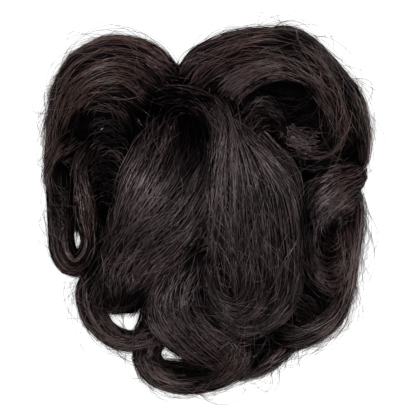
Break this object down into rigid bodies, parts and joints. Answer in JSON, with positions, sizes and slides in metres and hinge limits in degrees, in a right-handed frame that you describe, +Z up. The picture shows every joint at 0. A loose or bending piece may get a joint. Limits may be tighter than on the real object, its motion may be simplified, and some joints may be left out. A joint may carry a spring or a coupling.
{
  "type": "hair topper",
  "caption": "Dark curled hair topper lying hair side up: rolls, sweeps and ring curls on a domed net base with snap clips under its rim.",
  "frame": {"origin": "middle of the topper's plan, on the surface that it lies on", "axes": "+Y towards the front edge with the two large rolls, +X to the topper's right as seen from above, +Z up"},
  "size_m": [0.2028, 0.2278, 0.0645],
  "materials": {
    "hair": "dark brown-black hair with a soft gloss",
    "net": "matte fine mesh",
    "clip": "black lacquer"
  },
  "bodies": {
    "root": {"net_base": "net", "clip_front": "clip", "clip_left": "clip", "clip_back": "clip", "clip_right": "clip", "crown_hair": "hair", "right_front_roll": "hair", "left_front_roll": "hair", "right_side_curls": "hair", "left_ring_curl": "hair", "back_curls": "hair", "left_back_curl": "hair"}
  },
  "joints": []
}
